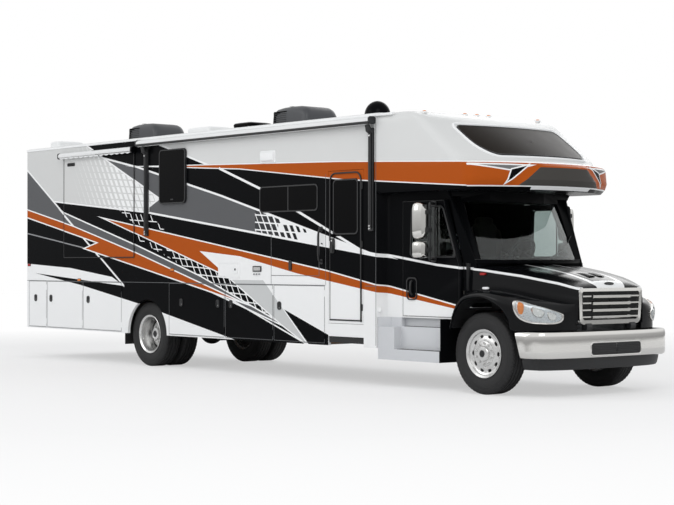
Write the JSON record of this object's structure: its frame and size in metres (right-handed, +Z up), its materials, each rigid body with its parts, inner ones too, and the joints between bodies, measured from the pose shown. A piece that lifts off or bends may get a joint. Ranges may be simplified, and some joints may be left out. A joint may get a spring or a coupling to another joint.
{
  "type": "motorhome",
  "caption": "Long motorhome on a truck chassis: hooded cab with a bunk above it, striped coach body with slide-out rooms, entry door, awning and luggage lockers.",
  "frame": {"origin": "on the ground, under the middle of the vehicle's length and width", "axes": "+X towards the front, +Y towards the vehicle's left side, +Z up"},
  "size_m": [12.04, 2.91, 3.925],
  "materials": {
    "chassis_black": "satin",
    "engine_casting": "matte",
    "chrome_trim": "polished",
    "dark_plastic": "matte",
    "gloss_black_paint": "gloss",
    "clear_glass": "gloss",
    "dark_glass": "gloss",
    "seat_fabric": "matte",
    "white_gelcoat": "gloss",
    "painted_gelcoat": "gloss with painted stripes",
    "floor_board": "matte",
    "galvanised_steel": "satin",
    "white_plastic": "satin",
    "tyre_rubber": "matte",
    "lamp_plastic": "gloss",
    "polished_aluminium": "polished"
  },
  "bodies": {
    "vehicle": {"chassis_frame": "chassis_black", "front_axle": "chassis_black", "rear_axle": "chassis_black", "leaf_springs": "chassis_black", "drive_shaft": "chassis_black", "engine": "engine_casting", "front_bumper": "chrome_trim", "bumper_valance": "dark_plastic", "cab_shell": "gloss_black_paint", "windshield": "clear_glass", "dashboard": "dark_plastic", "cab_seats": "seat_fabric", "cab_steps": "white_gelcoat", "coach_floor": "floor_board", "basement": "galvanised_steel", "right_wall": "painted_gelcoat", "left_wall": "painted_gelcoat", "coach_roof": "white_gelcoat", "rear_wall": "painted_gelcoat", "bunk_cap": "painted_gelcoat", "coach_windows": "dark_glass", "awning": "dark_plastic", "roof_air_conditioners": "dark_plastic", "roof_vents": "white_plastic", "mud_flaps": "tyre_rubber"},
    "hood": {"hood": "gloss_black_paint", "grille": "chrome_trim", "headlights": "lamp_plastic"},
    "right_cab_door": {"right_cab_door": "gloss_black_paint", "right_door_glass": "clear_glass", "right_mirror": "chrome_trim"},
    "left_cab_door": {"left_cab_door": "gloss_black_paint", "left_door_glass": "clear_glass", "left_mirror": "chrome_trim"},
    "entry_door": {"entry_door": "gloss_black_paint", "entry_door_glass": "dark_glass"},
    "right_slide_room": {"right_slide_room": "painted_gelcoat"},
    "left_slide_room": {"left_slide_room": "painted_gelcoat", "left_slide_window": "dark_glass"},
    "entry_step": {"entry_step": "dark_plastic"},
    "right_knuckle": {"right_knuckle": "chassis_black"},
    "left_knuckle": {"left_knuckle": "chassis_black"},
    "front_right_wheel": {"front_right_tyre": "tyre_rubber", "front_right_rim": "polished_aluminium"},
    "front_left_wheel": {"front_left_tyre": "tyre_rubber", "front_left_rim": "polished_aluminium"},
    "rear_right_wheels": {"rear_right_tyres": "tyre_rubber", "rear_right_rims": "polished_aluminium"},
    "rear_left_wheels": {"rear_left_tyres": "tyre_rubber", "rear_left_rims": "polished_aluminium"},
    "right_locker_door_1": {"right_locker_door_1": "painted_gelcoat"},
    "right_locker_door_2": {"right_locker_door_2": "painted_gelcoat"},
    "right_locker_door_3": {"right_locker_door_3": "painted_gelcoat"},
    "right_locker_door_4": {"right_locker_door_4": "painted_gelcoat"},
    "right_locker_door_5": {"right_locker_door_5": "painted_gelcoat"},
    "right_locker_door_6": {"right_locker_door_6": "painted_gelcoat"},
    "left_locker_door_1": {"left_locker_door_1": "painted_gelcoat"},
    "left_locker_door_2": {"left_locker_door_2": "painted_gelcoat"},
    "left_locker_door_3": {"left_locker_door_3": "painted_gelcoat"}
  },
  "joints": [
    {"name": "steer_right", "type": "hinge", "parent": "vehicle", "child": "right_knuckle", "pos_m": [4.895, -0.86, 0.5], "axis": [0, 0, 1], "range_deg": [-38, 38]},
    {"name": "steer_left", "type": "hinge", "parent": "vehicle", "child": "left_knuckle", "pos_m": [4.895, 0.86, 0.5], "axis": [0, 0, 1], "range_deg": [-38, 38]},
    {"name": "front_right_wheel_spin", "type": "hinge", "parent": "right_knuckle", "child": "front_right_wheel", "pos_m": [4.895, -1.02, 0.5], "axis": [0, 1, 0], "continuous": true},
    {"name": "front_left_wheel_spin", "type": "hinge", "parent": "left_knuckle", "child": "front_left_wheel", "pos_m": [4.895, 1.02, 0.5], "axis": [0, 1, 0], "continuous": true},
    {"name": "rear_right_wheels_spin", "type": "hinge", "parent": "vehicle", "child": "rear_right_wheels", "pos_m": [-2.363, -1.06, 0.5], "axis": [0, 1, 0], "continuous": true},
    {"name": "rear_left_wheels_spin", "type": "hinge", "parent": "vehicle", "child": "rear_left_wheels", "pos_m": [-2.363, 1.06, 0.5], "axis": [0, 1, 0], "continuous": true},
    {"name": "hood_tilt", "type": "hinge", "parent": "vehicle", "child": "hood", "pos_m": [5.925, 0, 0.84], "axis": [0, 1, 0], "range_deg": [0, 60]},
    {"name": "right_cab_door_hinge", "type": "hinge", "parent": "vehicle", "child": "right_cab_door", "pos_m": [4.4875, -1.13, 1.2], "axis": [0, 0, 1], "range_deg": [0, 70]},
    {"name": "left_cab_door_hinge", "type": "hinge", "parent": "vehicle", "child": "left_cab_door", "pos_m": [4.4875, 1.13, 1.2], "axis": [0, 0, -1], "range_deg": [0, 70]},
    {"name": "entry_door_hinge", "type": "hinge", "parent": "vehicle", "child": "entry_door", "pos_m": [2.8275, -1.2825, 1.2], "axis": [0, 0, 1], "range_deg": [0, 100]},
    {"name": "right_slide_out", "type": "slide", "parent": "vehicle", "child": "right_slide_room", "axis": [0, -1, 0], "range_m": [0, 0.58]},
    {"name": "left_slide_out", "type": "slide", "parent": "vehicle", "child": "left_slide_room", "axis": [0, 1, 0], "range_m": [0, 0.85]},
    {"name": "entry_step_slide", "type": "slide", "parent": "vehicle", "child": "entry_step", "axis": [0, -1, 0], "range_m": [0, 0.32]},
    {"name": "right_locker_door_1_hinge", "type": "hinge", "parent": "vehicle", "child": "right_locker_door_1", "pos_m": [-5.3575, -1.2825, 0.91], "axis": [0, 0, 1], "range_deg": [0, 100]},
    {"name": "right_locker_door_2_hinge", "type": "hinge", "parent": "vehicle", "child": "right_locker_door_2", "pos_m": [-4.1975, -1.2825, 0.91], "axis": [0, 0, 1], "range_deg": [0, 100]},
    {"name": "right_locker_door_3_hinge", "type": "hinge", "parent": "vehicle", "child": "right_locker_door_3", "pos_m": [-3.0175, -1.2825, 0.91], "axis": [0, 0, 1], "range_deg": [0, 100]},
    {"name": "right_locker_door_4_hinge", "type": "hinge", "parent": "vehicle", "child": "right_locker_door_4", "pos_m": [-0.2575, -1.2825, 0.91], "axis": [0, 0, 1], "range_deg": [0, 100]},
    {"name": "right_locker_door_5_hinge", "type": "hinge", "parent": "vehicle", "child": "right_locker_door_5", "pos_m": [0.8925, -1.2825, 0.91], "axis": [0, 0, 1], "range_deg": [0, 100]},
    {"name": "right_locker_door_6_hinge", "type": "hinge", "parent": "vehicle", "child": "right_locker_door_6", "pos_m": [2.0325, -1.2825, 0.91], "axis": [0, 0, 1], "range_deg": [0, 100]},
    {"name": "left_locker_door_1_hinge", "type": "hinge", "parent": "vehicle", "child": "left_locker_door_1", "pos_m": [-4.1975, 1.2825, 0.91], "axis": [0, 0, -1], "range_deg": [0, 100]},
    {"name": "left_locker_door_2_hinge", "type": "hinge", "parent": "vehicle", "child": "left_locker_door_2", "pos_m": [-3.0175, 1.2825, 0.91], "axis": [0, 0, -1], "range_deg": [0, 100]},
    {"name": "left_locker_door_3_hinge", "type": "hinge", "parent": "vehicle", "child": "left_locker_door_3", "pos_m": [2.0325, 1.2825, 0.91], "axis": [0, 0, -1], "range_deg": [0, 100]}
  ],
  "couplings": [
    {"joint": "steer_left", "follows": "steer_right", "ratio": 1}
  ]
}
